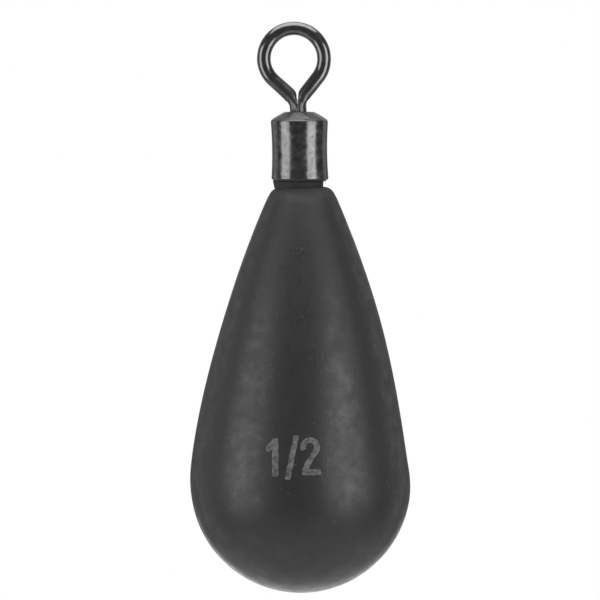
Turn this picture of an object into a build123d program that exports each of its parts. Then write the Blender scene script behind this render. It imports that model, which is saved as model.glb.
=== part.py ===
from build123d import *
import math
import os

# A teardrop sinker that hangs from a wire eye by a rolling swivel.
# Millimetres, +Z up. The origin is on the sinker's axis, where the centre of the eye's loop lies
# when the eye stands upright. The loop is seen face on from -Y, and the sinker hangs below it.

# Fits shared by the moving pieces
RUN_CLEARANCE = 0.03        # between faces that turn on each other
HEAD_SIDE_GAP = 0.18        # round a head, inside the barrel
CUT_OVERRUN = 0.5           # how far a cutting solid reaches past what it cuts

# Wire eye: one wire bent to a keyhole loop, its two legs swaged into a stem with a ball head
WIRE_DIAMETER = 0.60
LOOP_INNER_DIAMETER = 2.10
LEG_ANGLE = 43.7            # degrees between a leg and the eye's axis
LEG_BEND_RADIUS = 0.70      # of the wire's centreline, where a leg turns into the stem
STEM_DIAMETER = 0.75
STEM_SHOWN = 0.37           # straight stem between the legs' bend and the barrel
SWAGE_RUNOUT_RADIUS = 0.45  # of the hollow curve from the stem out to the legs
SLIT_WIDTH = 0.05           # left open between the legs, above the stem
SLIT_STOP = 0.22            # from the legs' bend up to the slit's foot
EYE_LEAN = 4.5              # degrees towards -X, as the eye rests in its loose seat
EYE_PITCH = 2.5             # degrees back towards +Y

# Swivel barrel: a drawn tube with both ends rolled in over the two heads
BARREL_DIAMETER = 2.53
BARREL_LENGTH = 3.13
BARREL_WALL = 0.28
WAIST_DEPTH = 0.045         # how far the tube draws in at its middle
CROWN_HEIGHT = 0.39         # of the rolled cone at the top
CROWN_LAND = 0.275          # from the stem out to where the cone starts
CROWN_RIM_ROUND = 0.07
HOLE_RIM_BREAK = 0.06       # chamfer round the crown's hole
SHOULDER_ROUND = 0.06
FOOT_HEIGHT = 0.135         # of the rolled edge at the bottom
FOOT_INSET = 0.155
LIP_THICKNESS = 0.27        # of the rolled-in bottom, under the pin's head

# Anchor pin: a headed pin, its tail glued into the sinker
PIN_DIAMETER = 0.90
PIN_HEAD_HEIGHT = 0.80
PIN_HEAD_CROWN = 0.22       # rise of the head's domed top
PIN_TAIL_LENGTH = 5.40      # below the top of the sinker

# Neck bush: the matt ring that holds the barrel clear of the sinker
BUSH_DIAMETER = 2.22
BUSH_HEIGHT = 0.28
BUSH_EDGE_BREAK = 0.04      # chamfer round the top
BUSH_FIT = 0.015            # between the bush and the pin

# Sinker body: a ball-ended teardrop with a blind hole in its top
BODY_DIAMETER = 9.88
BODY_LENGTH = 18.20
FLANK_RADIUS = 44.5         # of the long curve from the ball end up to the top
FLANK_SPANS = 4             # lengths that the flank is drawn in, which keeps its facets few
TOP_LEDGE = 0.24            # flat left round the bush
TOP_EDGE_ROUND = 0.32
BOND_GAP = 0.15             # glue line between the pin and the hole
HOLE_SPARE_DEPTH = 0.45     # glue below the pin's tip

# Radii
wire_radius = WIRE_DIAMETER / 2
loop_radius = LOOP_INNER_DIAMETER / 2 + wire_radius
stem_radius = STEM_DIAMETER / 2
leg_offset = stem_radius / 2
barrel_radius = BARREL_DIAMETER / 2
cavity_radius = barrel_radius - WAIST_DEPTH - BARREL_WALL
head_radius = cavity_radius - HEAD_SIDE_GAP
pin_radius = PIN_DIAMETER / 2
lip_hole_radius = pin_radius + RUN_CLEARANCE
bush_radius = BUSH_DIAMETER / 2
bulb_radius = BODY_DIAMETER / 2
hole_radius = pin_radius + BOND_GAP

# The eye's legs, from the loop down to the stem
leg_sin = math.sin(math.radians(LEG_ANGLE))
leg_cos = math.cos(math.radians(LEG_ANGLE))
leg_top = Vector(loop_radius * leg_cos, -loop_radius * leg_sin)
leg_run = (leg_top.X - leg_offset - LEG_BEND_RADIUS * (1 - leg_cos)) / leg_sin
leg_foot = leg_top + Vector(-leg_sin, -leg_cos) * leg_run
stem_top_z = leg_foot.Y - LEG_BEND_RADIUS * leg_sin

# Heights, from the barrel's crown down to the sinker's foot
crown_z = stem_top_z - STEM_SHOWN
shoulder_z = crown_z - CROWN_HEIGHT
barrel_foot_z = crown_z - BARREL_LENGTH
lip_z = barrel_foot_z + LIP_THICKNESS
bush_top_z = barrel_foot_z - RUN_CLEARANCE
body_top_z = bush_top_z - BUSH_HEIGHT
bulb_z = body_top_z - BODY_LENGTH + bulb_radius

# The crown's cone, and the ball head that seats under it
crown_top_radius = stem_radius + CROWN_LAND
cone_rise = CROWN_HEIGHT / math.hypot(CROWN_HEIGHT, barrel_radius - crown_top_radius)
cone_run = math.sqrt(1 - cone_rise**2)
seat_depth = (BARREL_WALL + head_radius + RUN_CLEARANCE - crown_top_radius * cone_rise) / cone_run
ball_z = crown_z - seat_depth
lean = math.acos(math.cos(math.radians(EYE_LEAN)) * math.cos(math.radians(EYE_PITCH)))
crown_hole_radius = stem_radius / math.cos(lean) + seat_depth * math.tan(lean) + RUN_CLEARANCE


def turned(*outline):
    """A solid of revolution about Z, from edges that close an outline of radius and height."""
    return revolve(Plane.XZ * make_face(outline), Axis.Z)


def rounded(points, radii):
    """A closed polygon of radius and height, with its first corners rounded, one for each given radius."""
    face = make_face(Polyline(*points, close=True))
    for point, radius in zip(points, radii):
        corner = face.vertices().sort_by_distance(Vector(*point))[0]
        face = fillet(corner, radius)
    return face


def under_crown(radius):
    """Height of the crown's inner face at a radius."""
    return crown_z - (BARREL_WALL + (radius - crown_top_radius) * cone_rise) / cone_run


def make_line_eye():
    """Wire eye: half the keyhole is swept and mirrored, then its stem is swaged and its end headed."""
    bend_centre = Vector(leg_offset + LEG_BEND_RADIUS, stem_top_z)
    path = Plane.XZ * Wire(
        [
            CenterArc((0, 0), loop_radius, 90, -(90 + LEG_ANGLE)),
            Line(leg_top, leg_foot),
            CenterArc(bend_centre, LEG_BEND_RADIUS, 180 - LEG_ANGLE, LEG_ANGLE),
            Line((leg_offset, stem_top_z), (leg_offset, ball_z)),
        ]
    )
    section = Plane(path @ 0, z_dir=path % 0) * Circle(wire_radius)
    half = split(sweep(section, path), Plane.YZ, keep=Keep.TOP)
    wire = half + mirror(half, Plane.YZ)

    runout_x = stem_radius + SWAGE_RUNOUT_RADIUS
    runout_z = stem_top_z + SWAGE_RUNOUT_RADIUS
    outside_x = runout_x + CUT_OVERRUN
    swage = turned(
        CenterArc((runout_x, stem_top_z), SWAGE_RUNOUT_RADIUS, 90, 90),
        Polyline(
            (stem_radius, stem_top_z),
            (stem_radius, ball_z),
            (outside_x, ball_z),
            (outside_x, runout_z),
            (runout_x, runout_z),
        ),
    )
    slit_height = leg_foot.Y - stem_top_z - SLIT_STOP
    slit_z = stem_top_z + SLIT_STOP + slit_height / 2
    slit = Pos(0, 0, slit_z) * Box(SLIT_WIDTH, WIRE_DIAMETER + CUT_OVERRUN, slit_height)

    eye = wire - swage - slit + Pos(0, 0, ball_z) * Sphere(head_radius)
    eye = eye.rotate(Axis((0, 0, ball_z), (0, 1, 0)), -EYE_LEAN)
    return eye.rotate(Axis((0, 0, ball_z), (1, 0, 0)), -EYE_PITCH)


def make_swivel_barrel():
    """Drawn tube with a slight waist, its top rolled to a cone and its foot rolled to a lip."""
    outer_foot_z = barrel_foot_z + FOOT_HEIGHT
    shell = rounded(
        [
            (crown_top_radius, crown_z),
            (barrel_radius, shoulder_z),
            (barrel_radius, outer_foot_z),
            (barrel_radius - FOOT_INSET, barrel_foot_z),
            (lip_hole_radius, barrel_foot_z),
            (lip_hole_radius, lip_z),
            (cavity_radius, lip_z),
            (cavity_radius, under_crown(cavity_radius)),
            (crown_hole_radius, under_crown(crown_hole_radius)),
            (crown_hole_radius, crown_z - HOLE_RIM_BREAK),
            (crown_hole_radius + HOLE_RIM_BREAK, crown_z),
        ],
        [CROWN_RIM_ROUND, SHOULDER_ROUND],
    )
    waist_top_z = shoulder_z - SHOULDER_ROUND
    waist_middle = (barrel_radius - WAIST_DEPTH, (waist_top_z + outer_foot_z) / 2)
    waist = make_face(
        [
            ThreePointArc((barrel_radius, waist_top_z), waist_middle, (barrel_radius, outer_foot_z)),
            Line((barrel_radius, outer_foot_z), (barrel_radius, waist_top_z)),
        ]
    )
    return revolve(Plane.XZ * (shell - waist), Axis.Z)


def make_anchor_pin():
    """Headed pin, with a domed head in the barrel and a plain tail in the sinker."""
    head_foot_z = lip_z + RUN_CLEARANCE
    head_edge_z = head_foot_z + PIN_HEAD_HEIGHT - PIN_HEAD_CROWN
    dome_radius = (head_radius**2 + PIN_HEAD_CROWN**2) / (2 * PIN_HEAD_CROWN)
    dome_middle_x = head_radius / 2
    dome_drop = dome_radius - math.sqrt(dome_radius**2 - dome_middle_x**2)
    head_top_z = head_edge_z + PIN_HEAD_CROWN
    tip_z = body_top_z - PIN_TAIL_LENGTH
    return turned(
        ThreePointArc((0, head_top_z), (dome_middle_x, head_top_z - dome_drop), (head_radius, head_edge_z)),
        Polyline(
            (head_radius, head_edge_z),
            (head_radius, head_foot_z),
            (pin_radius, head_foot_z),
            (pin_radius, tip_z),
            (0, tip_z),
            (0, head_top_z),
        ),
    )


def make_neck_bush():
    """Plain ring round the pin, with its top edge broken."""
    bore_radius = pin_radius + BUSH_FIT
    return turned(
        Polyline(
            (bore_radius, bush_top_z),
            (bush_radius - BUSH_EDGE_BREAK, bush_top_z),
            (bush_radius, bush_top_z - BUSH_EDGE_BREAK),
            (bush_radius, body_top_z),
            (bore_radius, body_top_z),
            close=True,
        )
    )


def make_hole():
    """The blind hole pressed into the sinker's top, for the pin and its glue."""
    hole_foot_z = body_top_z - PIN_TAIL_LENGTH - HOLE_SPARE_DEPTH
    return turned(
        Polyline(
            (0, body_top_z),
            (hole_radius, body_top_z),
            (hole_radius, hole_foot_z),
            (0, hole_foot_z),
            close=True,
        )
    )


def make_sinker_body():
    """Teardrop: a ball end, one long flank curve tangent to it, and a small flat top with a rounded edge."""
    bulb_centre = Vector(0, bulb_z)
    top_corner = Vector(bush_radius + TOP_LEDGE, body_top_z)
    across = top_corner - bulb_centre
    reach = FLANK_RADIUS - bulb_radius
    along = (reach**2 - FLANK_RADIUS**2 + across.length**2) / (2 * across.length)
    aside = math.sqrt(reach**2 - along**2)
    direction = across.normalized()
    flank_centre = bulb_centre + direction * along + Vector(-direction.Y, direction.X) * aside
    join = bulb_centre + (bulb_centre - flank_centre).normalized() * bulb_radius
    join_angle = math.degrees(math.atan2(join.Y - bulb_z, join.X))
    top_angle = math.degrees(math.atan2(top_corner.Y - flank_centre.Y, top_corner.X - flank_centre.X))
    span = (top_angle - join_angle) / FLANK_SPANS
    starts = [join_angle + number * span for number in range(FLANK_SPANS)]

    teardrop = make_face(
        [
            CenterArc(bulb_centre, bulb_radius, -90, 90 + join_angle),
            *[CenterArc(flank_centre, FLANK_RADIUS, start, span) for start in starts],
            Polyline(top_corner, (0, body_top_z), (0, bulb_z - bulb_radius)),
        ]
    )
    top_edge = teardrop.vertices().sort_by_distance(top_corner)[0]
    teardrop = fillet(top_edge, TOP_EDGE_ROUND)
    return revolve(Plane.XZ * teardrop, Axis.Z) - make_hole()


def main():
    """Builds each piece and writes it to its own file."""
    anchor_pin = make_anchor_pin()
    pieces = {
        "line_eye": make_line_eye(),
        "swivel_barrel": make_swivel_barrel(),
        "anchor_pin": anchor_pin,
        "neck_bush": make_neck_bush(),
        "sinker_body": make_sinker_body(),
        "epoxy_bond": make_hole() - anchor_pin,
    }
    os.makedirs("parts", exist_ok=True)
    for name, piece in pieces.items():
        export_step(piece, f"parts/{name}.step")


main()
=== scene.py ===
"""A teardrop fishing sinker on a rolling swivel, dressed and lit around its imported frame.

Sizes in the classes are millimetres in the part's own frame: +Z up, with the photographed side at -Y.
Angles in their fields are degrees.
"""

from __future__ import annotations

import logging
import math
from dataclasses import dataclass
from enum import Enum

import bmesh
import bpy
from mathutils import Matrix, Vector, noise

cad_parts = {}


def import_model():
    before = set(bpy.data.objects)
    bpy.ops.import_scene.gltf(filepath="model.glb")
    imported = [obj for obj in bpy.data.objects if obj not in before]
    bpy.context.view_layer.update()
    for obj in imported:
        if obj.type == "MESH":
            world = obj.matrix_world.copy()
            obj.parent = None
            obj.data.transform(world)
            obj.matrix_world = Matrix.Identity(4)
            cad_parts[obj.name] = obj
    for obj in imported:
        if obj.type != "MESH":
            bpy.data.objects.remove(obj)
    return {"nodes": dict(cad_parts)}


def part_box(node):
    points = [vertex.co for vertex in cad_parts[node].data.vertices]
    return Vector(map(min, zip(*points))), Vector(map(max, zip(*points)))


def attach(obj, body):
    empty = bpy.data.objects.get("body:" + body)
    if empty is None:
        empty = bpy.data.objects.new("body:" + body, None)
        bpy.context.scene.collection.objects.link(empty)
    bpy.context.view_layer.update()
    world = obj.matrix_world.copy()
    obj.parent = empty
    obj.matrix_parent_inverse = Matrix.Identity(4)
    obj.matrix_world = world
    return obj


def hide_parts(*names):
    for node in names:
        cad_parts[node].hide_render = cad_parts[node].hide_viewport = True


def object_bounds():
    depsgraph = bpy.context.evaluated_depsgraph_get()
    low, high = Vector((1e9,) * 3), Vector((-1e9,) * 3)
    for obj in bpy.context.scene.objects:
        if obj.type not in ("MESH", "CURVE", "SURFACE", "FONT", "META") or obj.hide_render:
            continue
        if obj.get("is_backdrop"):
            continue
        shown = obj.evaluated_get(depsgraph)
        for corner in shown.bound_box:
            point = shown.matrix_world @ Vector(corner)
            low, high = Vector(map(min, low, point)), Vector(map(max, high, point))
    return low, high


MM = 0.001
# Turning about this axis carries +X towards +Z, as on a drawing of radius and height
DRAWING_AXIS = Vector((0.0, -1.0, 0.0))
# Points closer than this are joined
SEAM_GAP = 0.0001
# Points this near to a ring lie on it, and turns this near to a pressed flat, in degrees, belong to it
RING_GAP = 0.001
TURN_GAP = 0.01
SMOOTH_ANGLE = 32.0
TURNED_STEPS = 192

Pair = tuple[float, float]
Socket = bpy.types.NodeSocket

log = logging.getLogger("sinker")


class Body(Enum):
    """The rigid bodies that pieces ride on."""

    EYE = "eye"
    BARREL = "barrel"
    SINKER = "sinker"


def linear(hex_colour: str) -> tuple[float, float, float, float]:
    """Turn an sRGB hex colour into linear values.

    Args:
        hex_colour: Six hex digits after a hash sign.

    Returns:
        Linear red, green and blue, and an alpha of one.
    """
    shares = [int(hex_colour[place : place + 2], 16) / 255 for place in (1, 3, 5)]
    values = [s / 12.92 if s <= 0.04045 else ((s + 0.055) / 1.055) ** 2.4 for s in shares]
    return (values[0], values[1], values[2], 1.0)


def per_size(size: float) -> float:
    """The texture scale that repeats a pattern at a real size in millimetres."""
    return 1.0 / (size * MM)


def clamped(share: float) -> float:
    """A share held between zero and one."""
    return min(1.0, max(0.0, share))


def ease(share: float) -> float:
    """A share held between zero and one, and eased at both ends."""
    share = clamped(share)
    return share * share * (3 - 2 * share)


def heading(azimuth: float, elevation: float = 0.0) -> Vector:
    """Find a direction.

    Args:
        azimuth: Degrees from the camera's side towards +X.
        elevation: Degrees above the level.

    Returns:
        The direction, one unit long.
    """
    turn = math.radians(azimuth)
    rise = math.radians(elevation)
    return Vector((math.sin(turn) * math.cos(rise), -math.cos(turn) * math.cos(rise), math.sin(rise)))


def reach_of(node: str) -> tuple[Vector, Vector]:
    """A node's lowest and highest corners at rest, in millimetres."""
    low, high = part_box(node)
    return low / MM, high / MM


def add_node(
    tree: bpy.types.NodeTree, kind: str, settings: dict[str | int, object] | None = None
) -> bpy.types.Node:
    """Add a node with its settings and links.

    Args:
        tree: The node tree to add to.
        kind: The node's type name.
        settings: The node's own properties by name, and its inputs by name or place. An input is given
            a value, or another node's output to link to.

    Returns:
        The new node.
    """
    node = tree.nodes.new(kind)
    for name, value in (settings or {}).items():
        if isinstance(value, Socket):
            tree.links.new(value, node.inputs[name])
        elif isinstance(name, str) and name in node.bl_rna.properties:
            setattr(node, name, value)
        else:
            node.inputs[name].default_value = value
    return node


def new_tree(name: str) -> tuple[bpy.types.Material, bpy.types.NodeTree]:
    """Start an empty node material.

    Args:
        name: The material's name.

    Returns:
        The material and its tree.
    """
    material = bpy.data.materials.new(name)
    material.use_nodes = True
    material.node_tree.nodes.clear()
    return material, material.node_tree


class Shading:
    """A material being built: its node tree, and a method for each step that the finishes share."""

    def __init__(self, name: str) -> None:
        """Start an empty material whose patterns lie in the part's own frame."""
        self.material, self.tree = new_tree(name)
        self.place = add_node(self.tree, "ShaderNodeTexCoord").outputs["Object"]

    def clouds(self, size: float, detail: float, roughness: float) -> Socket:
        """Add a cloudy noise.

        Args:
            size: A cloud's size, in millimetres.
            detail: How many finer layers it has.
            roughness: How strong each finer layer is.

        Returns:
            The noise's value.
        """
        settings = {"Scale": per_size(size), "Detail": detail, "Roughness": roughness, "Vector": self.place}
        return add_node(self.tree, "ShaderNodeTexNoise", settings).outputs["Fac"]

    def lines(self, width: float, length: float, detail: float, turn: float = 0.0) -> Socket:
        """Add a noise that is drawn out to lines along Z.

        Args:
            width: A line's width, in millimetres.
            length: A line's length, in millimetres.
            detail: How many finer layers it has.
            turn: Degrees by which the lines lean about Y.

        Returns:
            The noise's value.
        """
        across = per_size(width)
        stretch = {
            "Rotation": (0.0, math.radians(turn), 0.0),
            "Scale": (across, across, per_size(length)),
            "Vector": self.place,
        }
        stretched = add_node(self.tree, "ShaderNodeMapping", stretch).outputs["Vector"]
        settings = {"Scale": 1.0, "Detail": detail, "Vector": stretched}
        return add_node(self.tree, "ShaderNodeTexNoise", settings).outputs["Fac"]

    def spread(self, value: Socket, span: Pair = (0.0, 1.0), onto: Pair = (0.0, 1.0)) -> Socket:
        """Spread a span of a value over other values.

        Args:
            value: The value to spread.
            span: The span's ends.
            onto: What its ends become, which also holds beyond them.

        Returns:
            The spread value.
        """
        ends = {"From Min": span[0], "From Max": span[1], "To Min": onto[0], "To Max": onto[1]}
        return add_node(self.tree, "ShaderNodeMapRange", {**ends, "Value": value}).outputs["Result"]

    def over_heights(self, start: float, end: float, onto: Pair = (0.0, 1.0)) -> Socket:
        """Spread the heights from one to another, in millimetres, over other values."""
        height = add_node(self.tree, "ShaderNodeSeparateXYZ", {0: self.place}).outputs["Z"]
        return self.spread(height, (start * MM, end * MM), onto)

    def combine(self, operation: str, first: Socket, second: Socket) -> Socket:
        """Work out one value from two."""
        settings = {"operation": operation, 0: first, 1: second}
        return add_node(self.tree, "ShaderNodeMath", settings).outputs[0]

    def blend(self, share: Socket | float, first: Socket, second: Socket | float) -> Socket:
        """Mix two values, by the second one's share."""
        settings = {"data_type": "FLOAT", 0: share, 2: first, 3: second}
        return add_node(self.tree, "ShaderNodeMix", settings).outputs[0]

    def tint(self, share: Socket, first: Socket | str, second: str) -> Socket:
        """Mix two colours.

        Args:
            share: The second colour's share.
            first: A hex colour, or another mixture.
            second: A hex colour.

        Returns:
            The mixture.
        """
        start = linear(first) if isinstance(first, str) else first
        settings = {"data_type": "RGBA", 0: share, 6: start, 7: linear(second)}
        return add_node(self.tree, "ShaderNodeMix", settings).outputs[2]

    def relief(
        self, pattern: Socket, height: float, strength: Socket | float = 1.0, under: Socket | None = None
    ) -> Socket:
        """Stand a pattern out of the surface.

        Args:
            pattern: The pattern.
            height: How far it stands out, in millimetres.
            strength: The share of it that shows.
            under: Another relief that it lies on.

        Returns:
            The surface's normal.
        """
        settings = {"Strength": strength, "Distance": height * MM, "Height": pattern}
        if under is not None:
            settings["Normal"] = under
        return add_node(self.tree, "ShaderNodeBump", settings).outputs["Normal"]

    def finished(self, settings: dict[str, object]) -> bpy.types.Material:
        """Close the material with its shader.

        Args:
            settings: The shader's inputs.

        Returns:
            The finished material.
        """
        shader = add_node(self.tree, "ShaderNodeBsdfPrincipled", settings)
        add_node(self.tree, "ShaderNodeOutputMaterial", {"Surface": shader.outputs[0]})
        return self.material


@dataclass(frozen=True)
class CoatedTungsten:
    """Sintered tungsten under a baked black coat: satin and cloudy, with rubbed specks and scratches."""

    name: str = "sintered_tungsten_black_coat"
    dark: str = "#161616"
    light: str = "#272727"
    rubbed: str = "#5A5A5A"
    roughness_low: float = 0.34
    roughness_high: float = 0.52
    specular: float = 0.55
    # Cloudy patches, and the values between which they go from dark to light
    cloud_size: float = 0.7
    cloud_detail: float = 5.0
    cloud_roughness: float = 0.62
    cloud_span: Pair = (0.34, 0.66)
    # The pressed powder's grain, and its share of the mottle
    grain_size: float = 0.11
    grain_detail: float = 3.0
    grain_roughness: float = 0.6
    grain_share: float = 0.45
    grain_height: float = 0.006
    # Rubbed specks, from their rims to their middles, and the values of the clouds that carry them
    speck_size: float = 0.22
    speck_span: Pair = (0.20, 0.07)
    speck_strength: float = 0.85
    speck_clouds: Pair = (0.55, 0.66)
    # Scratches: a drawn-out noise, its value along them and how far off that may be, their strength,
    # and the values of the clouds that carry them
    scratch_width: float = 0.16
    scratch_length: float = 1.3
    scratch_detail: float = 1.0
    scratch_turn: float = 9.0
    scratch_value: float = 0.5
    scratch_reach: float = 0.012
    scratch_strength: float = 0.30
    scratch_clouds: Pair = (0.54, 0.66)
    # The coat turns dull towards the top: its roughness there, and the heights between
    dull_roughness: float = 0.85
    dull_from: float = -6.35
    dull_to: float = -5.95
    # The ball end is smoother than the rest: its shares of grain and roughness, and the heights between
    foot_grain: float = 0.25
    foot_roughness: float = 0.8
    foot_from: float = -22.0
    foot_to: float = -19.5

    def make(self) -> bpy.types.Material:
        """Build the material.

        Returns:
            The coat's material.
        """
        coat = Shading(self.name)
        # Cloudy patches where the coat is thicker or thinner
        clouds = coat.clouds(self.cloud_size, self.cloud_detail, self.cloud_roughness)
        cloud_share = coat.spread(clouds, self.cloud_span)
        # The grain is drawn coarser than real so that it shows
        grain = coat.clouds(self.grain_size, self.grain_detail, self.grain_roughness)
        mottle = coat.blend(self.grain_share, cloud_share, grain)
        # Sparse specks where the coat is rubbed through to lighter metal
        cells = {"Scale": per_size(self.speck_size), "Vector": coat.place}
        from_middle = add_node(coat.tree, "ShaderNodeTexVoronoi", cells).outputs["Distance"]
        speck = coat.spread(from_middle, self.speck_span, (0.0, self.speck_strength))
        specks = coat.combine("MULTIPLY", speck, coat.spread(clouds, self.speck_clouds))
        # Hairline scratches that run up the body, where a drawn-out noise crosses its middle
        lines = coat.lines(self.scratch_width, self.scratch_length, self.scratch_detail, self.scratch_turn)
        crossing = {"operation": "COMPARE", 0: lines, 1: self.scratch_value, 2: self.scratch_reach}
        scratch = add_node(coat.tree, "ShaderNodeMath", crossing).outputs[0]
        scratch_area = coat.spread(clouds, self.scratch_clouds, (0.0, self.scratch_strength))
        scratches = coat.combine("MULTIPLY", scratch, scratch_area)
        worn = coat.combine("MAXIMUM", specks, scratches)
        # Light patches shine more, the ball end is smoother, and the top is dull
        satin = coat.spread(cloud_share, onto=(self.roughness_high, self.roughness_low))
        polish = coat.over_heights(self.foot_from, self.foot_to, (self.foot_roughness, 1.0))
        polished = coat.combine("MULTIPLY", satin, polish)
        dulled = coat.over_heights(self.dull_from, self.dull_to)
        tooth = coat.over_heights(self.foot_from, self.foot_to, (self.foot_grain, 1.0))
        return coat.finished(
            {
                "Base Color": coat.tint(worn, coat.tint(mottle, self.dark, self.light), self.rubbed),
                "Roughness": coat.blend(dulled, polished, self.dull_roughness),
                "Specular IOR Level": self.specular,
                "Normal": coat.relief(grain, self.grain_height, tooth),
            }
        )


@dataclass(frozen=True)
class BlackNickel:
    """Black-nickel plate over drawn metal: a cloudy dark mirror, turning darker and rougher over a span of
    heights.
    """

    name: str
    dark: str
    light: str
    roughness_low: float
    roughness_high: float
    dent_size: float
    dent_height: float
    line_height: float
    # The plate turns darker and rougher from one of these heights on to the other
    dull_from: float
    dull_to: float
    dull_roughness: float
    dull: str = "#505050"
    dull_share: float = 0.75
    dent_detail: float = 4.0
    dent_roughness: float = 0.6
    cloud_span: Pair = (0.32, 0.68)
    line_width: float = 0.035
    line_length: float = 1.6
    line_detail: float = 2.0

    def make(self) -> bpy.types.Material:
        """Build the material.

        Returns:
            The plate's material.
        """
        plate = Shading(self.name)
        # Small handling dents, which break up the reflections
        dents = plate.clouds(self.dent_size, self.dent_detail, self.dent_roughness)
        cloud_share = plate.spread(dents, self.cloud_span)
        # Draw lines that run up the piece
        lines = plate.lines(self.line_width, self.line_length, self.line_detail)
        dented = plate.relief(dents, self.dent_height)
        clean = plate.tint(cloud_share, self.dark, self.light)
        shiny = plate.spread(cloud_share, onto=(self.roughness_low, self.roughness_high))
        dulled = plate.over_heights(self.dull_from, self.dull_to, (0.0, self.dull_share))
        return plate.finished(
            {
                "Base Color": plate.tint(dulled, clean, self.dull),
                "Metallic": 1.0,
                "Roughness": plate.blend(dulled, shiny, self.dull_roughness),
                "Normal": plate.relief(lines, self.line_height, under=dented),
            }
        )


@dataclass(frozen=True)
class FineGrain:
    """A plain surface with a fine grain: moulded, etched, rolled, drawn or cast, as its values say."""

    name: str
    dark: str
    light: str
    roughness: float
    grain_size: float
    grain_height: float
    metallic: float = 0.0
    grain_detail: float = 3.0
    grain_roughness: float = 0.65
    grain_span: Pair = (0.35, 0.65)

    def make(self) -> bpy.types.Material:
        """Build the material.

        Returns:
            The surface's material.
        """
        surface = Shading(self.name)
        grain = surface.clouds(self.grain_size, self.grain_detail, self.grain_roughness)
        return surface.finished(
            {
                "Base Color": surface.tint(surface.spread(grain, self.grain_span), self.dark, self.light),
                "Metallic": self.metallic,
                "Roughness": self.roughness,
                "Normal": surface.relief(grain, self.grain_height),
            }
        )


# Sintered tungsten under a baked coat: a cloudy satin black, dull at the neck
BODY_COAT = CoatedTungsten()
# Drawn tube under black nickel: a dark mirror, a little dented, and dull over the rolled crown
BARREL_PLATE = BlackNickel(
    name="drawn_tube_black_nickel",
    dark="#565656",
    light="#767676",
    roughness_low=0.14,
    roughness_high=0.27,
    dent_size=0.26,
    dent_height=0.003,
    line_height=0.0008,
    dull_from=-2.86,
    dull_to=-2.76,
    dull_roughness=0.45,
)
# Drawn wire under black nickel: cleaner and shinier than the tube, and darker and rougher from the legs
# down the stem
EYE_PLATE = BlackNickel(
    name="drawn_wire_black_nickel",
    dark="#606060",
    light="#707070",
    roughness_low=0.10,
    roughness_high=0.20,
    dent_size=0.35,
    dent_height=0.0012,
    line_height=0.0,
    dull_from=-0.95,
    dull_to=-1.75,
    dull_roughness=0.40,
)
# The rolled foot of the tube: the same plate, burnished dull
ROLLED_FOOT = FineGrain(
    name="rolled_edge_dull_nickel",
    dark="#5C5C5C",
    light="#6E6E6E",
    roughness=0.6,
    grain_size=0.08,
    grain_height=0.002,
    metallic=1.0,
)
# Moulded acetal: a dead black with a fine tooth
BUSH_ACETAL = FineGrain(
    name="moulded_acetal_matt_black",
    dark="#191919",
    light="#222223",
    roughness=0.72,
    grain_size=0.06,
    grain_height=0.002,
)
# Laser-etched metal: frosted grey, speckled by the beam's pulses
ETCHED_MARK = FineGrain(
    name="laser_etched_tungsten",
    dark="#3C3C3C",
    light="#6C6C6C",
    roughness=0.8,
    grain_size=0.17,
    grain_height=0.003,
)
# Drawn steel: bare and bright, with a fine grain
PIN_STEEL = FineGrain(
    name="drawn_steel_bright",
    dark="#8D8D90",
    light="#A9A9AC",
    roughness=0.32,
    grain_size=0.12,
    grain_height=0.001,
    metallic=1.0,
)
# Cured epoxy: amber, smooth and a little cloudy
CURED_EPOXY = FineGrain(
    name="cured_epoxy_amber",
    dark="#8C7A52",
    light="#9E8C62",
    roughness=0.25,
    grain_size=0.4,
    grain_height=0.001,
)


class Outline:
    """An outline of radius and height, drawn with operators and then turned about Z."""

    def __init__(self, radius: float, height: float) -> None:
        """Start the outline at a radius and height in millimetres."""
        self.mesh = bmesh.new()
        self.tip = self.mesh.verts.new((radius * MM, 0.0, height * MM))

    def line(self, radius: float, height: float, cuts: int = 0) -> Outline:
        """Draw a straight run.

        Args:
            radius: Radius of the run's end, in millimetres.
            height: Height of the run's end, in millimetres.
            cuts: How many points divide the run.

        Returns:
            The outline, so that runs can follow each other.
        """
        step = (Vector((radius * MM, 0.0, height * MM)) - self.tip.co) / (cuts + 1)
        for _ in range(cuts + 1):
            self.tip = bmesh.ops.extrude_vert_indiv(self.mesh, verts=[self.tip])["verts"][0]
            bmesh.ops.translate(self.mesh, verts=[self.tip], vec=step)
        return self

    def arc(self, radius: float, height: float, turn: float, steps: int) -> Outline:
        """Draw an arc about a centre.

        Args:
            radius: The centre's radius from the axis, in millimetres.
            height: The centre's height, in millimetres.
            turn: Degrees to turn, positive from +X towards +Z.
            steps: How many chords draw the arc.

        Returns:
            The outline, so that runs can follow each other.
        """
        spun = bmesh.ops.spin(
            self.mesh,
            geom=[self.tip],
            cent=(radius * MM, 0.0, height * MM),
            axis=DRAWING_AXIS,
            angle=math.radians(turn),
            steps=steps,
        )
        self.tip = next(item for item in spun["geom_last"] if isinstance(item, bmesh.types.BMVert))
        return self

    def turned(self) -> bmesh.types.BMesh:
        """Turn the outline a full circle about Z.

        Returns:
            The closed mesh, with its normals outwards.
        """
        bmesh.ops.remove_doubles(self.mesh, verts=self.mesh.verts, dist=SEAM_GAP * MM)
        bmesh.ops.spin(
            self.mesh,
            geom=[*self.mesh.verts, *self.mesh.edges],
            cent=(0.0, 0.0, 0.0),
            axis=(0.0, 0.0, 1.0),
            angle=math.tau,
            steps=TURNED_STEPS,
            use_merge=True,
        )
        bmesh.ops.remove_doubles(self.mesh, verts=self.mesh.verts, dist=SEAM_GAP * MM)
        bmesh.ops.recalc_face_normals(self.mesh, faces=self.mesh.faces)
        return self.mesh


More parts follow.
